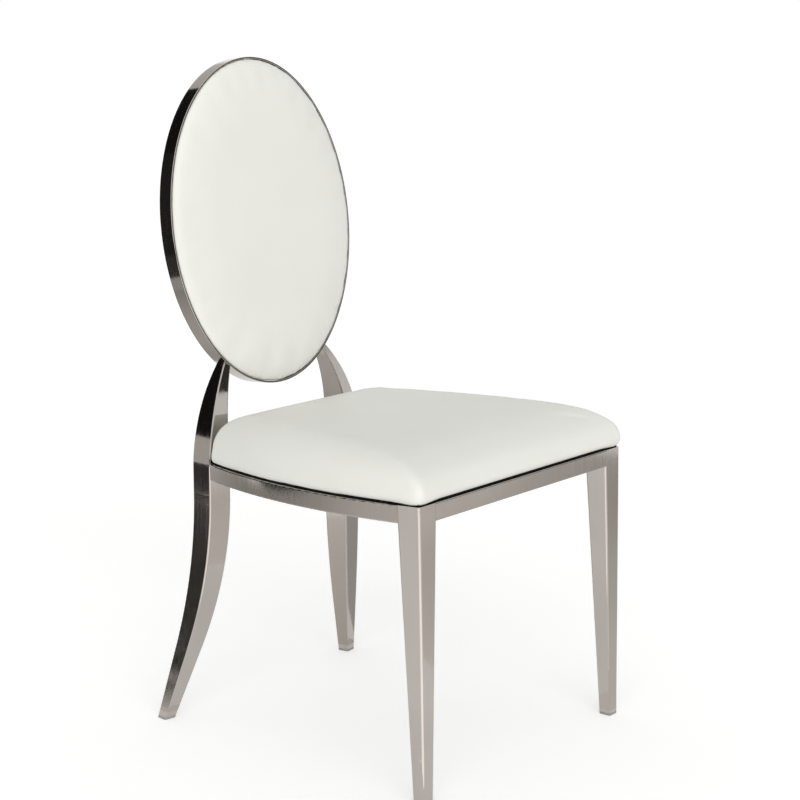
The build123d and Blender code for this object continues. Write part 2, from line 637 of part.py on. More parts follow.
back_staple_places = []
for number in range(BACK_STAPLE_COUNT):
    angle = radians(360 * (number + 0.5) / BACK_STAPLE_COUNT)
    x = (RING_HALF_WIDTH - pad_edge - BACK_STAPLE_INSET) * cos(angle)
    y = (RING_HALF_HEIGHT - pad_edge - BACK_STAPLE_INSET) * sin(angle)
    clear = True
    for name_number in range(len(tab_names)):
        tab_angle = radians(45 + 90 * name_number)
        tab_x = (RING_HALF_WIDTH - tab_inset) * cos(tab_angle)
        tab_y = (RING_HALF_HEIGHT - tab_inset) * sin(tab_angle)
        clear = clear and sqrt((x - tab_x) ** 2 + (y - tab_y) ** 2) > TAB_WIDTH
    if clear:
        along = degrees(atan2(y / RING_HALF_HEIGHT**2, x / RING_HALF_WIDTH**2)) + 90
        back_staple_places.append(Pos(x, y, hem_back) * Rot(0, 0, along))
parts["back_staples"] = ring_plane * Compound(children=[place * staple(0) for place in back_staple_places])
back_staple_cuts = Compound(children=[place * staple(THREAD_CLEARANCE) for place in back_staple_places])

front_cover = front_pad(0, hem_back) - front_pad(COVER, board_back)
front_cover -= slab(oval(pad_edge + COVER_HEM), hem_back, board_back)
parts["back_cover"] = ring_plane * (front_cover - back_screw_cuts - back_staple_cuts)
parts["back_foam"] = ring_plane * front_pad(COVER + FOAM_GAP, board_front)
back_board = slab(oval(pad_edge + COVER + FOAM_GAP), board_back, board_front)
parts["back_board"] = ring_plane * (back_board - back_screw_cuts - back_staple_cuts - clip_cuts)

# Rear panel that closes the back
rear_board = slab(oval(pad_edge + COVER + FOAM_GAP), rear_board_back, rear_board_front)
parts["rear_board"] = ring_plane * (rear_board - clip_cuts)


def rear_pad(shrink, depth):
    pad = crowned(pad_edge + shrink, depth, REAR_CROWN - shrink, REAR_EDGE - shrink)
    return Pos(0, 0, rear_board_back) * Rot(180, 0, 0) * pad


rear_cover = rear_pad(0, REAR_BOARD) - rear_pad(COVER, REAR_BOARD)
parts["rear_cover"] = ring_plane * rear_cover
rear_board_space = slab(oval(0), rear_board_back, rear_board_front)
parts["rear_foam"] = ring_plane * (rear_pad(COVER + FOAM_GAP, REAR_BOARD) - rear_board_space)

# Move to the frame: origin on the floor under the middle of the chair's box
box = Compound(children=[Part(children=piece.solids()) for piece in parts.values()]).bounding_box()
shift = Pos(0, -(box.min.Y + box.max.Y) / 2, -box.min.Z)
os.makedirs("parts", exist_ok=True)
for name, piece in parts.items():
    solids = piece.solids()
    moved = [shift * solid for solid in solids]
    export_step(moved[0] if len(moved) == 1 else Compound(children=moved), "parts/" + name + ".step")
print("nodes", len(parts), "depth shift", round(shift.position.Y, 3), "box", box.size)
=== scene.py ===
import json
import math

import bmesh
import bpy
import numpy
from mathutils import Matrix, Vector, noise


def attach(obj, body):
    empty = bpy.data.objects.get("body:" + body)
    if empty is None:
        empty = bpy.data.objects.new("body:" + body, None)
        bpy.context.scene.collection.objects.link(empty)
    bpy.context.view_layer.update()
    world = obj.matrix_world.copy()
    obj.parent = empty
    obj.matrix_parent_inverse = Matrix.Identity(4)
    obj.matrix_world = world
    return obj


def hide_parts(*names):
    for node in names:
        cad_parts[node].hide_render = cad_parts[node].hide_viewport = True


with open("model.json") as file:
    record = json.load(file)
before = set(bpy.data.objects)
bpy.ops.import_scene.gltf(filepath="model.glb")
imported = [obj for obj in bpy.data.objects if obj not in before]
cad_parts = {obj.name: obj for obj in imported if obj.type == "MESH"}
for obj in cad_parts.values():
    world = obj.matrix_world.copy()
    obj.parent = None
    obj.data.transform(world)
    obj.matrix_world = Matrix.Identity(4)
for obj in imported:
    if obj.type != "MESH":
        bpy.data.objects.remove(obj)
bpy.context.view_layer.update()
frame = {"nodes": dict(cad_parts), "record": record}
nodes = frame["nodes"]
scene = bpy.context.scene
scene.view_settings.view_transform = "Standard"
print("frame loaded:", len(nodes), "nodes")

# Camera at the photograph's view
photoView = {
    "azimuth": -51.004,
    "elevation": 11.125,
    "lens": 88.80,
    "sensor": 36.0,
    "place": (-2.19147, -1.81563, 1.04669),
}


def backVector(turnDegrees, riseDegrees):
    # from the chair towards a camera or a lamp
    turn = math.radians(turnDegrees)
    rise = math.radians(riseDegrees)
    return Vector((math.sin(turn) * math.cos(rise), -math.cos(turn) * math.cos(rise), math.sin(rise)))


def makeCamera(view):
    back = backVector(view["azimuth"], view["elevation"])
    data = bpy.data.cameras.new("photoCamera")
    data.lens = view["lens"]
    data.sensor_width = view["sensor"]
    camera = bpy.data.objects.new("photoCamera", data)
    scene.collection.objects.link(camera)
    camera.location = view["place"]
    camera.rotation_mode = "QUATERNION"
    camera.rotation_quaternion = (-back).to_track_quat("-Z", "Y")
    scene.camera = camera


makeCamera(photoView)
print("camera placed")


# Small helpers for node trees and meshes
def addNode(tree, kind, **settings):
    node = tree.nodes.new(kind)
    for name, value in settings.items():
        setattr(node, name, value)
    return node


def join(tree, *pairs):
    for out, into in pairs:
        tree.links.new(out, into)


def bareMaterial(name):
    paint = bpy.data.materials.new(name)
    paint.use_nodes = True
    paint.node_tree.nodes.clear()
    return paint, paint.node_tree


def seenMask(tree):
    # 1 for what the camera, metal and clear stuff look at, 0 for what lights the chair
    path = addNode(tree, "ShaderNodeLightPath")
    seen = addNode(tree, "ShaderNodeMath", operation="MAXIMUM")
    seenToo = addNode(tree, "ShaderNodeMath", operation="MAXIMUM")
    join(
        tree,
        (path.outputs["Is Camera Ray"], seen.inputs[0]),
        (path.outputs["Is Glossy Ray"], seen.inputs[1]),
        (seen.outputs[0], seenToo.inputs[0]),
        (path.outputs["Is Transmission Ray"], seenToo.inputs[1]),
    )
    return seenToo.outputs[0]


def meshObject(name, points, faces):
    mesh = bpy.data.meshes.new(name)
    mesh.from_pydata(points, [], faces)
    mesh.update()
    piece = bpy.data.objects.new(name, mesh)
    scene.collection.objects.link(piece)
    return piece


def plainMesh(piece):
    # the evaluated result as a mesh of its own, with no modifier left
    graph = bpy.context.evaluated_depsgraph_get()
    mesh = bpy.data.meshes.new_from_object(piece.evaluated_get(graph))
    old = piece.data
    piece.modifiers.clear()
    piece.data = mesh
    bpy.data.meshes.remove(old)
    return mesh


# World, floor and lights
studio = {
    "white": 1.0,  # what the camera and the metal see
    "fill": 0.595,  # what lights the object from all round
    "sunStrength": 2.4,
    "sunTurn": -45.0,
    "sunRise": 10.5,
    "sunSpread": 70.0,
    "floorColour": (0.945, 0.945, 0.94),
    "floorGlow": 0.40,  # share of the floor's white that shadows leave alone
    "floorShade": (0.81, 0.81, 0.805),
    "floorReach": 90.0,
}


def makeWorld(look):
    world = bpy.data.worlds.new("studioWorld")
    scene.world = world
    world.use_nodes = True
    tree = world.node_tree
    tree.nodes.clear()
    level = addNode(tree, "ShaderNodeMapRange")
    level.inputs["To Min"].default_value = look["fill"]
    level.inputs["To Max"].default_value = look["white"]
    sky = addNode(tree, "ShaderNodeBackground")
    sky.inputs["Color"].default_value = (1, 1, 1, 1)
    out = addNode(tree, "ShaderNodeOutputWorld")
    join(
        tree,
        (seenMask(tree), level.inputs["Value"]),
        (level.outputs["Result"], sky.inputs["Strength"]),
        (sky.outputs["Background"], out.inputs["Surface"]),
    )


def makeSun(look):
    light = bpy.data.lights.new("softSun", "SUN")
    light.energy = look["sunStrength"]
    light.angle = math.radians(look["sunSpread"])
    sun = bpy.data.objects.new("softSun", light)
    scene.collection.objects.link(sun)
    back = backVector(look["sunTurn"], look["sunRise"])
    sun.rotation_mode = "QUATERNION"
    sun.rotation_quaternion = back.to_track_quat("Z", "Y")
    sun.visible_glossy = False  # polished metal sees the cards instead


def makeFloor(look):
    reach = look["floorReach"]
    corners = [(-reach, -reach, 0), (reach, -reach, 0), (reach, reach, 0), (-reach, reach, 0)]
    floor = meshObject("floor", corners, [(0, 1, 2, 3)])
    paint, tree = bareMaterial("paleFloor")
    matt = addNode(tree, "ShaderNodeBsdfDiffuse")
    matt.inputs["Color"].default_value = (*look["floorColour"], 1)
    shade = addNode(tree, "ShaderNodeBsdfDiffuse")
    shade.inputs["Color"].default_value = (*look["floorShade"], 1)
    glow = addNode(tree, "ShaderNodeEmission")
    glow.inputs["Strength"].default_value = look["floorGlow"]
    white = addNode(tree, "ShaderNodeAddShader")
    mix = addNode(tree, "ShaderNodeMixShader")
    out = addNode(tree, "ShaderNodeOutputMaterial")
    join(
        tree,
        (shade.outputs[0], white.inputs[0]),
        (glow.outputs[0], white.inputs[1]),
        (seenMask(tree), mix.inputs["Fac"]),
        (matt.outputs[0], mix.inputs[1]),
        (white.outputs[0], mix.inputs[2]),
        (mix.outputs[0], out.inputs["Surface"]),
    )
    floor.data.materials.append(paint)


# Glowing cards that only polished metal sees: painted reflections, dark and light, and the painted
# highlights on the leg edges. Turns are counted from straight behind the chair.
reflectionTint = (1.0, 0.975, 0.945)
matLift = 0.002
# walls: upright glowing cards, painted reflections that only the metal sees
reflectionWalls = {
    "darkRearWall": {
        "middle": (-0.60, 2.63),
        "turn": -14.0,
        "width": 2.0,
        "bottom": 0.53,
        "top": 3.4,
        "tone": 0.012,
    },
    "darkLeftWall": {
        "middle": (-1.86, 2.05),
        "turn": -43.0,
        "width": 0.9,
        "bottom": 0.0,
        "top": 3.4,
        "tone": 0.025,
    },
    "paleRearWall": {
        "middle": (-1.42, 2.32),
        "turn": -30.0,
        "width": 0.5,
        "bottom": 0.0,
        "top": 0.53,
        "tone": 0.66,
    },
    "paleTopWall": {
        "middle": (1.18, 2.82),
        "turn": 27.0,
        "width": 1.7,
        "bottom": 1.9,
        "top": 3.6,
        "tone": 0.68,
    },
    "legWall": {
        "middle": (-0.99, 1.61),
        "turn": -30.0,
        "width": 0.36,
        "bottom": 0.04,
        "top": 0.115,
        "tone": 0.05,
    },
    "darkFrontWall": {
        "middle": (1.18, -1.92),
        "turn": 148.0,
        "width": 1.0,
        "bottom": 1.16,
        "top": 2.2,
        "tone": 0.05,
    },
    "ringFrontWall": {
        "middle": (1.90, -1.45),
        "turn": 130.0,
        "width": 0.9,
        "bottom": 0.36,
        "top": 1.4,
        "tone": 0.10,
    },
    "farPostWall": {
        "middle": (2.47, -0.56),
        "turn": 115.0,
        "width": 0.5,
        "bottom": 0.45,
        "top": 1.3,
        "tone": 0.64,
    },
}
# A mat is a fan just above the floor, a painted reflection like the walls. Each spoke: its turn, where it
# starts and ends, its tone (the glow of the painted reflection) at both ends.
# mats: glowing fans on the floor, painted reflections that only the metal sees
reflectionMats = {
    "railMat": {
        "centre": (-0.2, 0.0),
        "spokes": [
            (8, 1.25, 1.80, 0.64, 0.64),
            (-4, 1.25, 1.80, 0.50, 0.50),
            (-10, 1.25, 1.76, 0.42, 0.42),
            (-15, 1.25, 1.66, 0.38, 0.38),
            (-22, 1.25, 1.55, 0.42, 0.42),
            (-27, 1.25, 1.525, 0.46, 0.46),
            (-34, 1.25, 1.55, 0.50, 0.50),
            (-41, 1.25, 1.72, 0.56, 0.56),
            (-48, 1.25, 1.72, 0.65, 0.65),
            (-54, 1.25, 1.72, 0.72, 0.72),
            (-66, 1.25, 1.72, 0.84, 0.84),
        ],
    },
    "legMat": {
        "centre": (-0.2, 0.0),
        "spokes": [
            (-19, 1.63, 2.5, 0.05, 0.05),
            (-22, 1.55, 2.5, 0.05, 0.05),
            (-27, 1.525, 2.5, 0.05, 0.05),
            (-34, 1.55, 2.6, 0.05, 0.05),
            (-41, 1.72, 2.8, 0.05, 0.05),
            (-50, 1.72, 2.8, 0.05, 0.05),
        ],
    },
    "postMat": {
        "centre": (-0.2, 0.0),
        "spokes": [
            (16, 0.5, 1.28, 0.55, 0.50),
            (-4, 0.5, 1.28, 0.72, 0.42),
            (-19, 0.5, 1.28, 0.75, 0.41),
            (-34, 0.5, 1.28, 0.78, 0.40),
            (-50, 0.5, 1.28, 0.76, 0.55),
        ],
    },
    "frontMat": {
        "centre": (-1.0, -0.9),
        "spokes": [
            (60, 1.20, 2.9, 0.92, 0.60),
            (86, 1.35, 2.9, 0.85, 0.42),
            (93, 1.35, 2.9, 0.88, 0.42),
            (101, 1.35, 2.9, 1.26, 0.60),
            (114, 1.35, 2.9, 1.30, 0.62),
        ],
    },
    "farFrontMat": {
        "centre": (0.2, 0.25),
        "spokes": [(92, 0.03, 0.75, 0.50, 0.54), (124, 0.03, 0.75, 0.50, 0.54)],
    },
    "farSideMat": {
        "centre": (0.24, 0.22),
        "spokes": [(-48, 0.02, 0.6, 0.68, 0.90), (-90, 0.02, 0.6, 0.68, 0.90)],
    },
    # painted highlight: glows brighter than white, so that the rounded leg edges show white lines
    "brightMat": {
        "centre": (-0.26, -0.21),
        "spokes": [
            (-78, 0.08, 2.1, 1.8, 1.8),
            (-104, 0.08, 2.1, 1.8, 1.8),
            (-129, 0.08, 2.1, 1.8, 1.8),
            (-154, 0.08, 2.1, 1.8, 1.8),
            (-180, 0.08, 2.1, 1.8, 1.8),
        ],
    },
    "edgeMat": {
        "centre": (-0.1, 0.4),
        "spokes": [(turn, 2.6, 5.5, 0.10, 0.10) for turn in range(-65, -215, -15)],
    },
}


def turnVector(turn):
    angle = math.radians(turn)
    return Vector((math.sin(angle), math.cos(angle), 0))


def makeReflectionPaint(tint):
    # each card keeps its own tones, the glow of its painted reflection, in its points
    paint, tree = bareMaterial("reflectionPaint")
    tone = addNode(tree, "ShaderNodeAttribute", attribute_name="tone")
    glow = addNode(tree, "ShaderNodeEmission")
    glow.inputs["Color"].default_value = (*tint, 1)
    out = addNode(tree, "ShaderNodeOutputMaterial")
    join(tree, (tone.outputs["Fac"], glow.inputs["Strength"]), (glow.outputs[0], out.inputs["Surface"]))
    return paint


reflectionPaint = makeReflectionPaint(reflectionTint)


# a painted reflection: the card glows, and only glossy rays see it
def makeReflectionCard(name, points, faces, tones):
    card = meshObject(name, points, faces)
    strengths = card.data.attributes.new("tone", "FLOAT", "POINT")
    strengths.data.foreach_set("value", tones)
    card.data.materials.append(reflectionPaint)
    card.visible_camera = False
    card.visible_diffuse = False
    card.visible_transmission = False
    card.visible_shadow = False


def makeWall(name, look):
    outward = turnVector(look["turn"])
    across = Vector((outward.y, -outward.x, 0)) * (look["width"] / 2)
    middle = Vector((*look["middle"], 0))
    corners = []
    for side, height in ((-1, "bottom"), (1, "bottom"), (1, "top"), (-1, "top")):
        corners.append(middle + across * side + Vector((0, 0, look[height])))
    makeReflectionCard(name, corners, [(0, 1, 2, 3)], [look["tone"]] * 4)


def makeMat(name, look, lift):
    centre = Vector((*look["centre"], lift))
    points = []
    faces = []
    tones = []
    for number, (turn, near, far, nearTone, farTone) in enumerate(look["spokes"]):
        points.append(centre + turnVector(turn) * near)
        points.append(centre + turnVector(turn) * far)
        tones.extend((nearTone, farTone))
        if number:
            faces.append((2 * number - 2, 2 * number - 1, 2 * number + 1, 2 * number))
    makeReflectionCard(name, points, faces, tones)


makeWorld(studio)
makeSun(studio)
makeFloor(studio)
for cardName, cardLook in reflectionWalls.items():
    makeWall(cardName, cardLook)
for cardNumber, (cardName, cardLook) in enumerate(reflectionMats.items(), 1):
    makeMat(cardName, cardLook, matLift * cardNumber)
print("studio lit")


# Shader groups that several finishes share
def newGroup(name, inputs, outputs):
    group = bpy.data.node_groups.new(name, "ShaderNodeTree")
    for label, kind, value in inputs:
        socket = group.interface.new_socket(name=label, in_out="INPUT", socket_type=kind)
        if value is not None:
            socket.default_value = value
    for label, kind in outputs:
        group.interface.new_socket(name=label, in_out="OUTPUT", socket_type=kind)
    start = addNode(group, "NodeGroupInput")
    end = addNode(group, "NodeGroupOutput")
    return group, start, end


def makeToneGroup():
    # slow drift between two colours
    group, start, end = newGroup(
        "toneDrift",
        [
            ("Vector", "NodeSocketVector", None),
            ("Scale", "NodeSocketFloat", 8.0),
            ("Dark", "NodeSocketColor", (0.5, 0.5, 0.5, 1)),
            ("Light", "NodeSocketColor", (0.8, 0.8, 0.8, 1)),
        ],
        [("Color", "NodeSocketColor")],
    )
    cloud = addNode(group, "ShaderNodeTexNoise")
    cloud.inputs["Detail"].default_value = 3.0
    spread = addNode(group, "ShaderNodeMapRange")
    spread.inputs["From Min"].default_value = 0.3
    spread.inputs["From Max"].default_value = 0.7
    mix = addNode(group, "ShaderNodeMix", data_type="RGBA")
    join(
        group,
        (start.outputs["Vector"], cloud.inputs["Vector"]),
        (start.outputs["Scale"], cloud.inputs["Scale"]),
        (cloud.outputs["Fac"], spread.inputs["Value"]),
        (spread.outputs["Result"], mix.inputs["Factor"]),
        (start.outputs["Dark"], mix.inputs["A"]),
        (start.outputs["Light"], mix.inputs["B"]),
        (mix.outputs["Result"], end.inputs["Color"]),
    )
    return group


def makeLineGroup():
    # fine lines drawn out along one axis, as polishing or rolling leaves
    group, start, end = newGroup(
        "drawnLines",
        [
            ("Vector", "NodeSocketVector", None),
            ("Stretch", "NodeSocketVector", (1, 1, 1)),
            ("Scale", "NodeSocketFloat", 300.0),
            ("Low", "NodeSocketFloat", 0.1),
            ("High", "NodeSocketFloat", 0.2),
        ],
        [("Value", "NodeSocketFloat"), ("Height", "NodeSocketFloat")],
    )
    pull = addNode(group, "ShaderNodeVectorMath", operation="MULTIPLY")
    lines = addNode(group, "ShaderNodeTexNoise")
    lines.inputs["Detail"].default_value = 4.0
    spread = addNode(group, "ShaderNodeMapRange")
    spread.inputs["From Min"].default_value = 0.3
    spread.inputs["From Max"].default_value = 0.7
    join(
        group,
        (start.outputs["Vector"], pull.inputs[0]),
        (start.outputs["Stretch"], pull.inputs[1]),
        (pull.outputs["Vector"], lines.inputs["Vector"]),
        (start.outputs["Scale"], lines.inputs["Scale"]),
        (lines.outputs["Fac"], spread.inputs["Value"]),
        (start.outputs["Low"], spread.inputs["To Min"]),
        (start.outputs["High"], spread.inputs["To Max"]),
        (spread.outputs["Result"], end.inputs["Value"]),
        (lines.outputs["Fac"], end.inputs["Height"]),
    )
    return group


def makeGrainGroup():
    # rounded cells with creases between them
    group, start, end = newGroup(
        "pebbleGrain",
        [
            ("Vector", "NodeSocketVector", None),
            ("Scale", "NodeSocketFloat", 700.0),
            ("Waver", "NodeSocketFloat", 0.4),
        ],
        [("Height", "NodeSocketFloat"), ("Crease", "NodeSocketFloat")],
    )
    wander = addNode(group, "ShaderNodeTexNoise")
    wander.inputs["Detail"].default_value = 2.0
    shift = addNode(group, "ShaderNodeVectorMath", operation="SCALE")
    moved = addNode(group, "ShaderNodeVectorMath", operation="ADD")
    grow = addNode(group, "ShaderNodeVectorMath", operation="SCALE")
    cells = addNode(group, "ShaderNodeTexVoronoi", feature="DISTANCE_TO_EDGE")
    cells.inputs["Scale"].default_value = 1.0
    rounded = addNode(group, "ShaderNodeMapRange", interpolation_type="SMOOTHSTEP")
    rounded.inputs["From Max"].default_value = 0.28
    crease = addNode(group, "ShaderNodeMath", operation="SUBTRACT")
    crease.inputs[0].default_value = 1.0
    join(
        group,
        (start.outputs["Vector"], grow.inputs[0]),
        (start.outputs["Scale"], grow.inputs["Scale"]),
        (grow.outputs["Vector"], wander.inputs["Vector"]),
        (wander.outputs["Color"], shift.inputs[0]),
        (start.outputs["Waver"], shift.inputs["Scale"]),
        (grow.outputs["Vector"], moved.inputs[0]),
        (shift.outputs["Vector"], moved.inputs[1]),
        (moved.outputs["Vector"], cells.inputs["Vector"]),
        (cells.outputs["Distance"], rounded.inputs["Value"]),
        (rounded.outputs["Result"], end.inputs["Height"]),
        (rounded.outputs["Result"], crease.inputs[1]),
        (crease.outputs[0], end.inputs["Crease"]),
    )
    return group


toneGroup = makeToneGroup()
lineGroup = makeLineGroup()
grainGroup = makeGrainGroup()


def placeGroup(tree, group, coords, **values):
    node = addNode(tree, "ShaderNodeGroup", node_tree=group)
    join(tree, (coords.outputs["Object"], node.inputs["Vector"]))
    for label, value in values.items():
        node.inputs[label].default_value = value
    return node


def placeTone(tree, coords, look):
    dark = (*look["dark"], 1)
    light = (*look["light"], 1)
    return placeGroup(tree, toneGroup, coords, Scale=look["drift"], Dark=dark, Light=light)


def placeLines(tree, coords, look):
    low, high = look["lineRange"]
    values = {"Stretch": look["stretch"], "Scale": look["lines"], "Low": low, "High": high}
    return placeGroup(tree, lineGroup, coords, **values)


def newFinish(name):
    finish = bpy.data.materials.new(name)
    finish.use_nodes = True
    tree = finish.node_tree
    shader = tree.nodes["Principled BSDF"]
    coords = addNode(tree, "ShaderNodeTexCoord")
    return finish, tree, shader, coords


def addBump(tree, shader, height, strength, depth):
    bump = addNode(tree, "ShaderNodeBump")
    bump.inputs["Strength"].default_value = strength
    bump.inputs["Distance"].default_value = depth
    join(tree, (height, bump.inputs["Height"]), (bump.outputs["Normal"], shader.inputs["Normal"]))


# Metals share one maker, each with its own values
metals = {
    "polishedSteel": {
        "dark": (0.425, 0.392, 0.362),
        "light": (0.475, 0.442, 0.410),
        "drift": 5.0,
        "stretch": (1.0, 1.0, 0.05),
        "lines": 260.0,
        "lineRange": (0.055, 0.115),  # roughness
        "bump": (0.02, 0.0001),
    },
    "plateSteel": {
        "dark": (0.30, 0.29, 0.28),
        "light": (0.44, 0.43, 0.42),
        "drift": 40.0,
        "stretch": (1.0, 0.06, 1.0),
        "lines": 500.0,
        "lineRange": (0.34, 0.52),  # roughness
        "bump": (0.15, 0.0002),
    },
    "zincSteel": {
        "dark": (0.50, 0.51, 0.53),
        "light": (0.66, 0.67, 0.66),
        "drift": 300.0,
        "stretch": (1.0, 1.0, 1.0),
        "lines": 900.0,
        "lineRange": (0.26, 0.42),  # roughness
        "bump": (0.08, 0.0001),
    },
}


def makeMetal(name, look):
    finish, tree, shader, coords = newFinish(name)
    tone = placeTone(tree, coords, look)
    lines = placeLines(tree, coords, look)
    shader.inputs["Metallic"].default_value = 1.0
    join(
        tree,
        (tone.outputs["Color"], shader.inputs["Base Color"]),
        (lines.outputs["Value"], shader.inputs["Roughness"]),
    )
    addBump(tree, shader, lines.outputs["Height"], *look["bump"])
    return finish


# Leatherette: off-white, satin, with a fine pebbled skin whose creases carry a little painted shade
leatheretteLook = {
    "dark": (0.781, 0.782, 0.730),
    "light": (0.803, 0.804, 0.755),
    "drift": 9.0,
    "grain": 620.0,
    "waver": 0.5,
    "rough": (0.46, 0.58),
    "bump": (0.10, 0.0003),
    # painted shade: the grain's creases are darkened a little
    "paintedCreaseShade": 0.985,
    "shine": 0.4,
}


def makeLeatherette(look):
    finish, tree, shader, coords = newFinish("leatherette")
    tone = placeTone(tree, coords, look)
    grain = placeGroup(tree, grainGroup, coords, Scale=look["grain"], Waver=look["waver"])
    # painted shade in the creases of the grain
    creaseShaded = addNode(tree, "ShaderNodeMix", data_type="RGBA", blend_type="MULTIPLY")
    creaseShaded.inputs["B"].default_value = (look["paintedCreaseShade"],) * 3 + (1,)
    rough = addNode(tree, "ShaderNodeMapRange")
    rough.inputs["To Min"].default_value = look["rough"][0]
    rough.inputs["To Max"].default_value = look["rough"][1]
    join(
        tree,
        (grain.outputs["Crease"], creaseShaded.inputs["Factor"]),
        (tone.outputs["Color"], creaseShaded.inputs["A"]),
        (creaseShaded.outputs["Result"], shader.inputs["Base Color"]),
        (grain.outputs["Crease"], rough.inputs["Value"]),
        (rough.outputs["Result"], shader.inputs["Roughness"]),
    )
    shader.inputs["Specular IOR Level"].default_value = look["shine"]
    addBump(tree, shader, grain.outputs["Height"], *look["bump"])
    return finish


# Matt finishes: cloth, tape, nylon and clip plastic
mattWaver = 0.8
mattLooks = {
    "dustCloth": {
        "dark": (0.012, 0.012, 0.013),
        "light": (0.035, 0.035, 0.036),
        "drift": 420.0,
        "grain": 900.0,
        "rough": 0.92,
        "bump": (0.5, 0.0004),
        "shine": 0.2,
    },
    # tape under the cushion, coloured near black so that it also paints the shade of the gap between the
    # cushion and the rails
    "tapeAndGapShade": {
        "dark": (0.003, 0.003, 0.003),
        "light": (0.008, 0.008, 0.008),
        "drift": 120.0,
        "grain": 1500.0,
        "rough": 0.95,
        "bump": (0.4, 0.0003),
        "shine": 0.08,
    },
    "glideNylon": {
        "dark": (0.26, 0.25, 0.235),
        "light": (0.33, 0.32, 0.30),
        "drift": 160.0,
        "grain": 1100.0,
        "rough": 0.55,
        "bump": (0.12, 0.0002),
        "shine": 0.5,
    },
    "clipPlastic": {
        "dark": (0.70, 0.69, 0.65),
        "light": (0.80, 0.79, 0.76),
        "drift": 60.0,
        "grain": 1200.0,
        "rough": 0.45,
        "bump": (0.06, 0.0002),
        "shine": 0.5,
    },
}


def makeMatt(name, look):
    finish, tree, shader, coords = newFinish(name)
    tone = placeTone(tree, coords, look)
    grain = placeGroup(tree, grainGroup, coords, Scale=look["grain"], Waver=mattWaver)
    shader.inputs["Roughness"].default_value = look["rough"]
    shader.inputs["Specular IOR Level"].default_value = look["shine"]
    join(tree, (tone.outputs["Color"], shader.inputs["Base Color"]))
    addBump(tree, shader, grain.outputs["Height"], *look["bump"])
    return finish


# Plywood: veneer layers through the thickness, long grain on the faces
plywoodLook = {
    "dark": (0.33, 0.20, 0.10),
    "light": (0.58, 0.42, 0.25),
    "drift": 7.0,
    "stretch": (0.08, 1.0, 1.0),
    "lines": 160.0,
    "lineRange": (0.75, 1.0),
    "lineShare": 0.8,
    "layers": 210.0,
    "layerShare": 0.35,
    "rough": 0.7,
    "bump": (0.2, 0.0003),
}


def makePlywood(look):
    finish, tree, shader, coords = newFinish("plywood")
    tone = placeTone(tree, coords, look)
    lines = placeLines(tree, coords, look)
    layers = addNode(tree, "ShaderNodeTexWave", wave_type="BANDS", bands_direction="Z")
    layers.inputs["Scale"].default_value = look["layers"]
    shade = addNode(tree, "ShaderNodeMix", data_type="RGBA", blend_type="MULTIPLY")
    shade.inputs["Factor"].default_value = look["layerShare"]
    grained = addNode(tree, "ShaderNodeMix", data_type="RGBA", blend_type="MULTIPLY")
    grained.inputs["Factor"].default_value = look["lineShare"]
    shader.inputs["Roughness"].default_value = look["rough"]
    join(
        tree,
        (coords.outputs["Object"], layers.inputs["Vector"]),
        (tone.outputs["Color"], shade.inputs["A"]),
        (layers.outputs["Color"], shade.inputs["B"]),
        (shade.outputs["Result"], grained.inputs["A"]),
        (lines.outputs["Value"], grained.inputs["B"]),
        (grained.outputs["Result"], shader.inputs["Base Color"]),
    )
    addBump(tree, shader, lines.outputs["Height"], *look["bump"])
    return finish


finishes = {
    "polished_steel": makeMetal("polishedSteel", metals["polishedSteel"]),
    "plate_steel": makeMetal("plateSteel", metals["plateSteel"]),
    "zinc_steel": makeMetal("zincSteel", metals["zincSteel"]),
    "leatherette": makeLeatherette(leatheretteLook),
    "plywood": makePlywood(plywoodLook),
    "dust_cloth": makeMatt("dustCloth", mattLooks["dustCloth"]),
    "black_tape": makeMatt("tapeAndGapShade", mattLooks["tapeAndGapShade"]),
    "glide_nylon": makeMatt("glideNylon", mattLooks["glideNylon"]),
    "clip_plastic": makeMatt("clipPlastic", mattLooks["clipPlastic"]),
}
for subpart in frame["record"]["subparts"]:
    slot = subpart["material_slot"]
    if slot in finishes:
        nodeMesh = nodes[subpart["node"]].data
        nodeMesh.materials.clear()
        nodeMesh.materials.append(finishes[slot])
print("finishes made:", len(finishes))


# Cloth swelling that all three pads go through
clothLook = {"quality": 5, "mass": 0.3}
evenStep = 0.5
leastMove = 1e-9


def remeshPad(pad, voxel):
    step = pad.modifiers.new("even", "REMESH")
    step.mode = "VOXEL"
    step.voxel_size = voxel
    return plainMesh(pad)


def evenOut(mesh, held, rounds, rebound):
    # a pass inwards, then one outwards: a rebound close to evenStep keeps the pad's size
    count = len(mesh.vertices)
    points = numpy.empty(count * 3)
    mesh.vertices.foreach_get("co", points)
    points = points.reshape(count, 3)
    ends = numpy.empty(len(mesh.edges) * 2, dtype=numpy.int32)
    mesh.edges.foreach_get("vertices", ends)
    first = ends[0::2]
    second = ends[1::2]
    links = numpy.bincount(ends, minlength=count)[:, None]
    loose = 1 - numpy.array(held)[:, None]
    for _ in range(rounds):
        for step in (evenStep, -rebound):
            total = numpy.empty((count, 3))
            for axis in range(3):
                total[:, axis] = numpy.bincount(first, points[second, axis], count)
                total[:, axis] += numpy.bincount(second, points[first, axis], count)
            points += step * loose * (total / links - points)
    mesh.vertices.foreach_set("co", points.ravel())
    mesh.update()


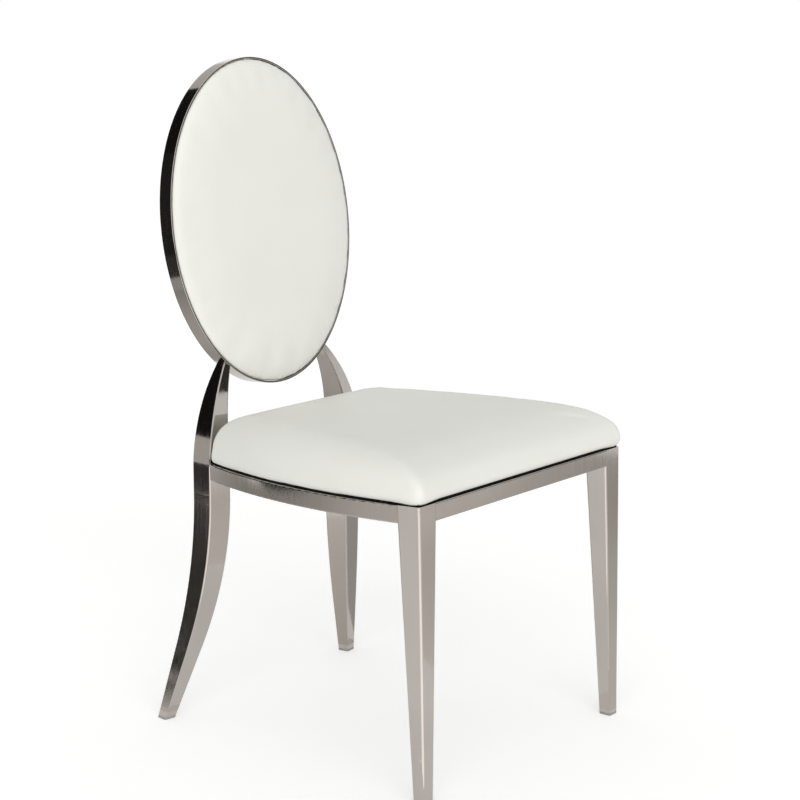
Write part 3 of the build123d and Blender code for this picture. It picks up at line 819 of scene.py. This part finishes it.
def swellPad(pad, look, heldAt):
    mesh = remeshPad(pad, look["voxel"])
    held = [heldAt(vert.co) for vert in mesh.vertices]
    evenOut(mesh, held, look["evenFirst"], look["rebound"])
    group = pad.vertex_groups.new(name="held")
    for index, weight in enumerate(held):
        if weight > 0:
            group.add([index], weight, "REPLACE")
    before = [vert.co.copy() for vert in mesh.vertices]
    cloth = pad.modifiers.new("swell", "CLOTH")
    cloth.settings.quality = clothLook["quality"]
    cloth.settings.mass = clothLook["mass"]
    cloth.settings.bending_stiffness = look["bending"]
    cloth.settings.use_pressure = True
    cloth.settings.uniform_pressure_force = look["pressure"]
    cloth.settings.effector_weights.gravity = 0
    cloth.settings.vertex_group_mass = "held"
    cloth.point_cache.frame_start = 1
    cloth.point_cache.frame_end = look["frames"]
    for frameNumber in range(1, look["frames"] + 1):
        scene.frame_set(frameNumber)
    graph = bpy.context.evaluated_depsgraph_get()
    swollen = pad.evaluated_get(graph).data
    after = [vert.co.copy() for vert in swollen.vertices]
    pad.modifiers.clear()
    pad.vertex_groups.clear()
    scene.frame_set(1)
    furthest = 0
    for vert, old, new in zip(mesh.vertices, before, after):
        move = new - old
        furthest = max(furthest, move.length)
        if move.length > leastMove:
            share = math.tanh(move.length / look["mostMove"])
            vert.co = old + move.normalized() * look["mostMove"] * share
    print("  swelled", pad.name, "by up to", round(furthest * 1000, 1), "mm before the cap")
    evenOut(mesh, held, look["evenLast"], look["rebound"])
    return mesh


def finishPad(pad, fill, *replaced):
    for face in pad.data.polygons:
        face.use_smooth = True
    pad.data.materials.clear()
    pad.data.materials.append(finishes["leatherette"])
    fine = pad.modifiers.new("fine", "SUBSURF")
    fine.levels = 1
    fine.render_levels = 1
    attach(pad, "root")
    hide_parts(*replaced)


def ringsToMesh(name, rings, bottom, top):
    count = len(rings[0])
    points = [bottom]
    for ring in rings:
        points.extend(ring)
    points.append(top)
    faces = []
    last = len(points) - 1
    for k in range(count):
        n = (k + 1) % count
        faces.append((0, 1 + n, 1 + k))
        for level in range(len(rings) - 1):
            low = 1 + level * count
            faces.append((low + k, low + n, low + count + n, low + count + k))
        faces.append((last - count + k, last - count + n, last))
    return meshObject(name, points, faces)


# Seat cushion: one cover pulled over foam and tucked under on the rails
seatCushion = {
    "frontY": -0.267009,
    "railTop": 0.4135,
    "slope": 2.45,
    "frontHalf": 0.239,
    "rearHalf": 0.170,
    "depth": 0.447,
    "bow": 0.027,
    "underside": 0.0022,  # pressed a little into the tape
    "widest": 0.015,
    "overhang": 0.0045,
    "tuck": 0.005,
    "rise": 0.0625,
    "topSlope": 0.7,
    "rearGap": 0.0055,
    "rearLip": 0.0028,  # hides the board above the tape
    "rollFront": 0.172,
    "rollSide": 0.067,
    "rollRear": 0.056,
    "fullness": 2.6,
    "cornerFront": 0.012,
    "cornerRear": 0.012,
    "cornerOpening": 0.030,
    "startInset": 0.0004,
    "voxel": 0.005,
    "pressure": 4.0,
    "bending": 3.0,
    "frames": 20,
    "mostMove": 0.0016,
    "evenFirst": 6,
    "evenLast": 10,
    "rebound": 0.53,
    "heldFade": 0.006,
    "rippleDepth": 0.0006,
    "rippleLength": 0.026,
    "rippleReach": 0.026,
    "rippleStart": 0.004,
    "rippleBase": 0.7,
    "fineRipple": (0.5, 2.3),  # depth and frequency beside the main ripple
    "droop": 0.0026,  # the cover comes down over the tape at the front corners
    "droopReach": 0.050,
    "tuckShares": (0.0, 0.12, 0.3, 0.55, 0.8),
    "rollSteps": 30,
    "topShares": (0.75, 0.5, 0.25),
    "frontSteps": 24,
    "cornerSteps": 12,
    "sideSteps": 44,
    "rearSteps": 16,
    "fill": 0.85,
}


def sideArc(look):
    chordX = look["frontHalf"] - look["rearHalf"]
    half = math.hypot(chordX, look["depth"]) / 2
    radius = (half**2 + look["bow"] ** 2) / (2 * look["bow"])
    angle = math.atan2(chordX, look["depth"])
    x = (look["frontHalf"] + look["rearHalf"]) / 2 - (radius - look["bow"]) * math.cos(angle)
    y = look["depth"] / 2 - (radius - look["bow"]) * math.sin(angle)
    return x, y, radius


def seatOutline(look, front, side, rear, opening):
    # half of the outline from the front's middle to the rear's, then its mirror image
    arcX, arcY, radius = sideArc(look)
    radius -= side
    half = []
    turns = []
    corners = (
        (front + look["cornerFront"] + opening, look["cornerFront"] + opening),
        (rear - look["cornerRear"] - opening, look["cornerRear"] + opening),
    )
    for cornerY, size in corners:
        reach = radius - size
        cornerX = arcX + math.sqrt(reach**2 - (cornerY - arcY) ** 2)
        turns.append((cornerX, cornerY, size, math.atan2(cornerY - arcY, cornerX - arcX)))
    frontX, frontY, frontSize, frontTurn = turns[0]
    rearX, rearY, rearSize, rearTurn = turns[1]
    for k in range(look["frontSteps"]):
        half.append((frontX * k / look["frontSteps"], front))
    for k in range(look["cornerSteps"]):
        angle = -math.pi / 2 + (frontTurn + math.pi / 2) * k / look["cornerSteps"]
        half.append((frontX + frontSize * math.cos(angle), frontY + frontSize * math.sin(angle)))
    for k in range(look["sideSteps"]):
        angle = frontTurn + (rearTurn - frontTurn) * k / look["sideSteps"]
        half.append((arcX + radius * math.cos(angle), arcY + radius * math.sin(angle)))
    for k in range(look["cornerSteps"]):
        angle = rearTurn + (math.pi / 2 - rearTurn) * k / look["cornerSteps"]
        half.append((rearX + rearSize * math.cos(angle), rearY + rearSize * math.sin(angle)))
    for k in range(look["rearSteps"] + 1):
        half.append((rearX * (1 - k / look["rearSteps"]), rear))
    return half + [(-x, y) for x, y in half[-2:0:-1]]


def seatPoint(look, x, y, height, tilt):
    # tilt is the slope of the plane that the point lies on
    lean = math.radians(tilt)
    return Vector((x, look["frontY"] + y * math.cos(lean), look["railTop"] + height - y * math.sin(lean)))


def makeSeatCushion(look):
    rings = []
    rear = look["depth"] - look["rearGap"]
    slope = look["slope"]
    flatten = 1 / math.cos(math.radians(slope))
    inset = look["startInset"]
    for share in look["tuckShares"]:
        out = -look["tuck"] + (look["tuck"] + look["overhang"]) * math.sqrt(1 - (1 - share) ** 2)
        height = (look["underside"] + (look["widest"] - look["underside"]) * share) * flatten
        outline = seatOutline(look, -out, -out, rear + look["rearLip"] * (1 - share), 0)
        rings.append([seatPoint(look, x, y, height, slope) for x, y in outline])
    base = look["widest"] * flatten
    for k in range(look["rollSteps"] + 1):
        angle = math.pi / 2 * k / look["rollSteps"]
        level = math.sin(angle) ** (2 / look["fullness"])
        share = 1 - max(0.0, math.cos(angle)) ** (2 / look["fullness"])
        grow = inset * min(1.0, level * 2)
        outline = seatOutline(
            look,
            grow - look["overhang"] + look["rollFront"] * share,
            grow - look["overhang"] + look["rollSide"] * share,
            rear - grow - look["rollRear"] * share,
            look["cornerOpening"] * share,
        )
        height = base + (look["rise"] - inset - base) * level
        tilt = slope * (1 - level) + look["topSlope"] * level
        rings.append([seatPoint(look, x, y, height, tilt) for x, y in outline])
    rollEnd = rings[-1]
    top = sum(rollEnd, Vector()) / len(rollEnd)
    for share in look["topShares"]:
        rings.append([top + (point - top) * share for point in rollEnd])
    bottom = sum(rings[0], Vector()) / len(rings[0])
    cushion = ringsToMesh("seatCushion", rings, bottom, top)
    lean = math.radians(slope)

    def heightAt(point):
        return (point.y - look["frontY"]) * math.sin(lean) + (point.z - look["railTop"]) * math.cos(lean)

    def heldAt(point):
        return max(0.0, min(1.0, (look["widest"] + look["heldFade"] - heightAt(point)) / look["heldFade"]))

    mesh = swellPad(cushion, look, heldAt)
    middle = Vector((0, look["frontY"] + look["depth"] / 2, 0))
    fineDepth, fineness = look["fineRipple"]
    for vert in mesh.vertices:
        # small gathers where the cover is pulled under
        height = heightAt(vert.co) - look["underside"]
        fade = max(0.0, 1 - height / look["rippleReach"]) * min(1.0, max(0.0, height) / look["rippleStart"])
        if fade > 0:
            flat = Vector((vert.co.x, vert.co.y, 0)) / look["rippleLength"]
            wave = look["rippleBase"] + noise.noise(flat) + fineDepth * noise.noise(flat * fineness)
            outward = Vector((vert.co.x, vert.co.y, 0)) - middle
            vert.co += outward.normalized() * (wave * fade * look["rippleDepth"])
        # the cover hangs lower at the front corners
        corner = Vector((math.copysign(look["frontHalf"], vert.co.x), look["frontY"], 0))
        away = (Vector((vert.co.x, vert.co.y, 0)) - corner).length / look["droopReach"]
        lowness = max(0.0, 1 - max(0.0, height) / look["rippleReach"])
        if away < 1 and lowness > 0:
            vert.co.z -= look["droop"] * (1 - away**2) ** 2 * lowness
    mesh.update()
    finishPad(cushion, look["fill"], "seat_cover", "seat_foam")


makeSeatCushion(seatCushion)
print("seat cushion made")

# Oval back: a crowned front pad and a flatter rear panel, both inside the ring
ovalBack = {
    "middle": (0.0, 0.222191, 0.7364),
    "tilt": 6.7,
    "halfWidth": 0.1947,
    "halfHeight": 0.2463,
    "voxel": 0.005,
    "pressure": 4.0,
    "bending": 12.0,
    "frames": 20,
    "evenFirst": 3,
    "evenLast": 14,
    "rebound": 0.0,
    "heldFade": 0.004,
    "edgeSteps": 8,
    "domeSteps": 24,
    "around": 200,
    "fill": 0.8,
}
frontPad = {
    "edgeInset": 0.0034,
    "rear": -0.0122,
    "rim": 0.0,
    "crown": 0.017,
    "edge": 0.009,
    "startDrop": 0.003,
    "mostMove": 0.004,
}
rearPad = {
    "edgeInset": 0.0026,  # pressed against the ring
    "rear": 0.0172,
    "rim": 0.0218,
    "crown": 0.008,
    "edge": 0.004,
    "startDrop": 0.001,
    "mostMove": 0.0012,
    "voxel": 0.0041,
    "evenLast": 5,
}


def ovalPoint(look, x, y, forward):
    lean = math.radians(look["tilt"])
    up = Vector((0, math.sin(lean), math.cos(lean)))
    ahead = Vector((0, -math.cos(lean), math.sin(lean)))
    return Vector(look["middle"]) + Vector((x, 0, 0)) + up * y + ahead * forward


def makeOvalPad(name, look, pad, facing, replaced):
    across = look["halfWidth"] - pad["edgeInset"]
    along = look["halfHeight"] - pad["edgeInset"]
    radius = pad["edge"]
    crown = pad["crown"] - pad["startDrop"]
    rim = across - radius
    dome = (rim**2 + crown**2 - radius**2) / (2 * (crown - radius))
    touch = math.atan2(dome - crown, rim)  # where the edge's roll meets the dome
    profile = [(across, pad["rear"]), (across, (pad["rear"] + pad["rim"]) / 2)]
    for k in range(look["edgeSteps"] + 1):
        angle = touch * k / look["edgeSteps"]
        profile.append((rim + radius * math.cos(angle), pad["rim"] + radius * math.sin(angle)))
    for k in range(1, look["domeSteps"]):
        angle = touch + (math.pi / 2 - touch) * k / look["domeSteps"]
        profile.append((dome * math.cos(angle), pad["rim"] + crown - dome + dome * math.sin(angle)))
    rings = []
    for reach, height in profile:
        ring = []
        for k in range(look["around"]):
            angle = 2 * math.pi * k / look["around"] * facing
            x = reach * math.cos(angle)
            y = reach * math.sin(angle) * along / across
            ring.append(ovalPoint(look, x, y, height * facing))
        rings.append(ring)
    bottom = ovalPoint(look, 0, 0, pad["rear"] * facing)
    top = ovalPoint(look, 0, 0, (pad["rim"] + crown) * facing)
    cushion = ringsToMesh(name, rings, bottom, top)
    lean = math.radians(look["tilt"])
    ahead = Vector((0, -math.cos(lean), math.sin(lean)))

    def heldAt(point):
        height = (point - Vector(look["middle"])).dot(ahead) * facing
        return max(0.0, min(1.0, (pad["rim"] + look["heldFade"] - height) / look["heldFade"]))

    swellPad(cushion, {**look, **pad}, heldAt)
    finishPad(cushion, look["fill"], *replaced)


makeOvalPad("backPad", ovalBack, frontPad, 1, ("back_cover", "back_foam"))
makeOvalPad("rearPanelPad", ovalBack, rearPad, -1, ("rear_cover", "rear_foam"))
print("back pads made")


# Small repeated fittings, placed where the CAD has them
mergeReach = 1e-6


def islands(node):
    # the points of each separate solid of one node
    work = bmesh.new()
    work.from_mesh(nodes[node].data)
    bmesh.ops.remove_doubles(work, verts=work.verts, dist=mergeReach)
    waiting = set(work.verts)
    found = []
    while waiting:
        group = [waiting.pop()]
        for vert in group:
            for edge in vert.link_edges:
                other = edge.other_vert(vert)
                if other in waiting:
                    waiting.discard(other)
                    group.append(other)
        found.append([vert.co.copy() for vert in group])
    work.free()
    return found


def placementTree():
    # a template on each point, turned as the point's own attribute says
    tree = bpy.data.node_groups.new("fittingPlaces", "GeometryNodeTree")
    tree.is_modifier = True
    sockets = (
        ("Geometry", "NodeSocketGeometry"),
        ("Fitting", "NodeSocketObject"),
        ("Finish", "NodeSocketMaterial"),
    )
    for label, kind in sockets:
        tree.interface.new_socket(name=label, in_out="INPUT", socket_type=kind)
    tree.interface.new_socket(name="Geometry", in_out="OUTPUT", socket_type="NodeSocketGeometry")
    start = addNode(tree, "NodeGroupInput")
    end = addNode(tree, "NodeGroupOutput")
    turn = addNode(tree, "GeometryNodeInputNamedAttribute", data_type="FLOAT_VECTOR")
    turn.inputs["Name"].default_value = "turn"
    asTurn = addNode(tree, "FunctionNodeEulerToRotation")
    fitting = addNode(tree, "GeometryNodeObjectInfo")
    place = addNode(tree, "GeometryNodeInstanceOnPoints")
    real = addNode(tree, "GeometryNodeRealizeInstances")
    paint = addNode(tree, "GeometryNodeSetMaterial")
    join(
        tree,
        (start.outputs["Fitting"], fitting.inputs["Object"]),
        (turn.outputs["Attribute"], asTurn.inputs["Euler"]),
        (start.outputs["Geometry"], place.inputs["Points"]),
        (fitting.outputs["Geometry"], place.inputs["Instance"]),
        (asTurn.outputs["Rotation"], place.inputs["Rotation"]),
        (place.outputs["Instances"], real.inputs["Geometry"]),
        (real.outputs["Geometry"], paint.inputs["Geometry"]),
        (start.outputs["Finish"], paint.inputs["Material"]),
        (paint.outputs["Geometry"], end.inputs["Geometry"]),
    )
    return tree


fittingTree = placementTree()


def placeFittings(name, template, places, slotName, *replaced):
    piece = meshObject(name, [place for place, turn in places], [])
    turns = piece.data.attributes.new("turn", "FLOAT_VECTOR", "POINT")
    for number, (place, turn) in enumerate(places):
        turns.data[number].vector = turn
    step = piece.modifiers.new("places", "NODES")
    step.node_group = fittingTree
    for socket in fittingTree.interface.items_tree:
        if socket.in_out == "INPUT" and socket.name == "Fitting":
            step[socket.identifier] = template
        if socket.in_out == "INPUT" and socket.name == "Finish":
            step[socket.identifier] = finishes[slotName]
    plainMesh(piece)
    bpy.data.objects.remove(template)
    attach(piece, "root")
    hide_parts(*replaced)
    print("placed", name, len(places))


def frameTurn(across, up):
    # the turn whose X runs along across and whose Z runs along up
    side = up.cross(across).normalized()
    return Matrix((across, side, up)).transposed().to_euler()


# Staples: flat wire with rounded shoulders that turn up into the board
stapleLook = {
    "span": 0.010,
    "wire": 0.0007,
    "shoulder": 0.0009,
    "leg": 0.006,
    "bends": ((-1, (180, 210, 240, 270)), (1, (270, 300, 330, 360))),
    "sides": 8,
    "swell": 0.54,  # corners stand out a little, so that the faces lie at the wire's radius
    "crownDepth": 0.0004,  # points this close to the lowest one belong to the crown
    "endShare": 0.8,  # and past this share of the half span to its ends
}


def makeStapleTemplate(look):
    half = look["span"] / 2 - look["wire"] / 2
    path = [Vector((-half, 0, look["leg"]))]
    for side, angles in look["bends"]:
        for angle in angles:
            bend = math.radians(angle)
            x = side * (half - look["shoulder"]) + look["shoulder"] * math.cos(bend)
            z = look["shoulder"] - look["wire"] / 2 + look["shoulder"] * math.sin(bend)
            path.append(Vector((x, 0, z)))
    path.append(Vector((half, 0, look["leg"])))
    points = []
    faces = []
    sides = look["sides"]
    for number, spot in enumerate(path):
        ahead = path[min(number + 1, len(path) - 1)] - path[max(number - 1, 0)]
        normal = Vector((0, 1, 0)).cross(ahead.normalized())
        for k in range(sides):
            angle = 2 * math.pi * (k + 0.5) / sides
            sideways = Vector((0, math.sin(angle) * look["wire"] * look["swell"], 0))
            points.append(spot + normal * math.cos(angle) * look["wire"] * look["swell"] + sideways)
    for level in range(len(path) - 1):
        low = level * sides
        for k in range(sides):
            n = (k + 1) % sides
            faces.append((low + k, low + n, low + sides + n, low + sides + k))
    template = meshObject("stapleTemplate", points, faces)
    work = bmesh.new()
    work.from_mesh(template.data)
    bmesh.ops.holes_fill(work, edges=work.edges)
    bmesh.ops.recalc_face_normals(work, faces=work.faces)
    for face in work.faces:
        face.smooth = True
    work.to_mesh(template.data)
    work.free()
    return template


def staplePlaces(node, up, look):
    places = []
    for points in islands(node):
        low = min(point.dot(up) for point in points)
        crown = [point for point in points if point.dot(up) < low + look["crownDepth"]]
        middle = sum(crown, Vector()) / len(crown)
        across = max((point - middle for point in crown), key=lambda arm: arm.length)
        across = (across - up * across.dot(up)).normalized()
        farEnough = look["endShare"] * look["span"] / 2
        ends = [point - middle for point in crown if (point - middle).length > farEnough]
        first = [arm for arm in ends if arm.dot(across) > 0]
        across = sum(first, Vector()).normalized()
        across = (across - up * across.dot(up)).normalized()
        places.append((middle + up * (low + look["wire"] / 2 - middle.dot(up)), frameTurn(across, up)))
    return places


seatSlope = math.radians(seatCushion["slope"])
backTilt = math.radians(ovalBack["tilt"])
seatUp = Vector((0, math.sin(seatSlope), math.cos(seatSlope)))
backAhead = Vector((0, -math.cos(backTilt), math.sin(backTilt)))
for fittingName, fittingNode, fittingUp in (
    ("seatStaples", "seat_staples", seatUp),
    ("backStaples", "back_staples", backAhead),
):
    fittingPlaces = staplePlaces(fittingNode, fittingUp, stapleLook)
    placeFittings(fittingName, makeStapleTemplate(stapleLook), fittingPlaces, "zinc_steel", fittingNode)

# Screws: button heads with a hexagon socket, a plain shank behind
seatScrew = {
    "head": 0.011,
    "headHeight": 0.0035,
    "shank": 0.006,
    "length": 0.0235,
    "socket": 0.004,
    "socketDepth": 0.0021,
}
backScrew = {
    "head": 0.008,
    "headHeight": 0.0024,
    "shank": 0.004,
    "length": 0.0090,
    "socket": 0.0026,
    "socketDepth": 0.0014,
}
screwShape = {
    "sides": 36,
    "bends": (8, 24, 42, 60, 76),
    "land": 1.3,  # flat round the socket, as a share of the socket
    "landEdge": 1.28,
    "mouth": 1.03,
    "mouthDepth": 0.96,
    "cone": 1.2,  # drilled point at the socket's floor
}


def makeScrewTemplate(look, shape):
    # drawn with the head's seat at zero, the head below and the shank above
    turns = [2 * math.pi * k / shape["sides"] for k in range(shape["sides"])]
    radius = look["head"] / 2
    socket = look["socket"] / 2
    tall = look["headHeight"]

    def spot(size, angle, height):
        return Vector((size * math.cos(angle), size * math.sin(angle), height))

    def circle(size, height):
        return [spot(size, angle, height) for angle in turns]

    def hexagon(size, height):
        ring = []
        for angle in turns:
            within = (angle + math.pi / 6) % (math.pi / 3) - math.pi / 6
            ring.append(spot(size / math.cos(within), angle, height))
        return ring

    rings = [circle(look["shank"] / 2, look["length"]), circle(look["shank"] / 2, 0.0), circle(radius, 0.0)]
    land = socket * shape["land"]
    for angle in shape["bends"]:
        bend = math.radians(angle)
        rings.append(circle(land + (radius - land) * math.cos(bend), -tall * math.sin(bend)))
    rings.append(circle(socket * shape["landEdge"], -tall))
    rings.append(hexagon(socket * shape["mouth"], -tall))
    rings.append(hexagon(socket, -tall * shape["mouthDepth"]))
    rings.append(hexagon(socket, -tall + look["socketDepth"]))
    shankEnd = Vector((0, 0, look["length"]))
    socketEnd = Vector((0, 0, -tall + look["socketDepth"] * shape["cone"]))
    screw = ringsToMesh("screwTemplate", rings, shankEnd, socketEnd)
    work = bmesh.new()
    work.from_mesh(screw.data)
    bmesh.ops.recalc_face_normals(work, faces=work.faces)
    work.to_mesh(screw.data)
    work.free()
    return screw


def screwPlaces(node, up, look):
    places = []
    across = Vector((1, 0, 0))
    across = (across - up * across.dot(up)).normalized()
    for points in islands(node):
        low = min(point.dot(up) for point in points)
        middle = sum(points, Vector()) / len(points)
        places.append((middle + up * (low + look["headHeight"] - middle.dot(up)), frameTurn(across, up)))
    return places


for fittingName, fittingNode, fittingUp, screwLook in (
    ("seatScrews", "seat_screws", seatUp, seatScrew),
    ("backScrews", "back_screws", backAhead, backScrew),
):
    fittingPlaces = screwPlaces(fittingNode, fittingUp, screwLook)
    screwTemplate = makeScrewTemplate(screwLook, screwShape)
    placeFittings(fittingName, screwTemplate, fittingPlaces, "zinc_steel", fittingNode)
